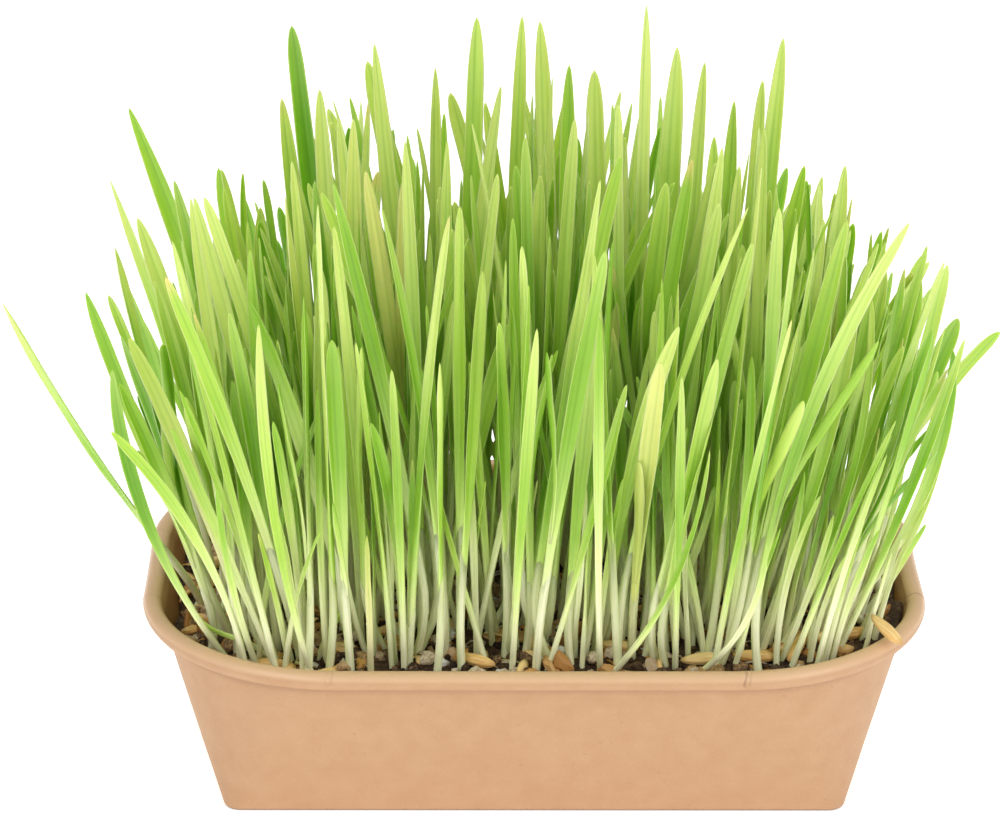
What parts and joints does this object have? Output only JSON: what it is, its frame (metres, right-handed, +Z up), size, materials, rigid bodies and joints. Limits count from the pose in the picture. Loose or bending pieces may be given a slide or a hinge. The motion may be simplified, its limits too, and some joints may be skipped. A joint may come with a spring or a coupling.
{
  "type": "wheatgrass tray",
  "caption": "Sprouted cereal grass growing in dark soil in a rolled-rim kraft paper tray with tapered walls, loose husked grains and stones on the soil.",
  "frame": {"origin": "middle of the tray's base, in the plane that it stands on", "axes": "+X along the tray's length, -Y is the front in the picture, +Z up along the shoots"},
  "size_m": [0.2178, 0.1464, 0.171],
  "materials": {
    "kraft_paper": "matte",
    "potting_soil": "matte",
    "grass": "satin",
    "grain_husk": "matte",
    "gravel": "matte",
    "perlite": "matte"
  },
  "bodies": {
    "root": {"tray_wall": "kraft_paper", "tray_base": "kraft_paper", "substrate": "potting_soil", "tuft_01": "grass", "tuft_02": "grass", "tuft_03": "grass", "tuft_04": "grass", "tuft_05": "grass", "tuft_06": "grass", "tuft_07": "grass", "tuft_08": "grass", "tuft_09": "grass", "tuft_10": "grass", "tuft_11": "grass", "tuft_12": "grass", "tuft_13": "grass", "tuft_14": "grass", "tuft_15": "grass", "tuft_16": "grass", "tuft_17": "grass", "tuft_18": "grass", "tuft_19": "grass", "tuft_20": "grass", "tuft_21": "grass", "tuft_22": "grass", "tuft_23": "grass", "tuft_24": "grass", "tuft_25": "grass", "tuft_26": "grass", "tuft_27": "grass", "tuft_28": "grass", "tuft_29": "grass", "tuft_30": "grass", "tuft_31": "grass", "tuft_32": "grass", "tuft_33": "grass", "grain_01": "grain_husk", "grain_02": "grain_husk", "grain_03": "grain_husk", "grain_04": "grain_husk", "grain_05": "grain_husk", "grain_06": "grain_husk", "grain_07": "grain_husk", "grain_08": "grain_husk", "grain_09": "grain_husk", "grain_10": "grain_husk", "grain_11": "grain_husk", "grain_12": "grain_husk", "grain_13": "grain_husk", "grain_14": "grain_husk", "stone_01": "perlite", "stone_02": "perlite", "stone_03": "gravel", "stone_04": "gravel", "stone_05": "gravel", "stone_06": "gravel", "stone_07": "gravel", "stone_08": "perlite"}
  },
  "joints": []
}
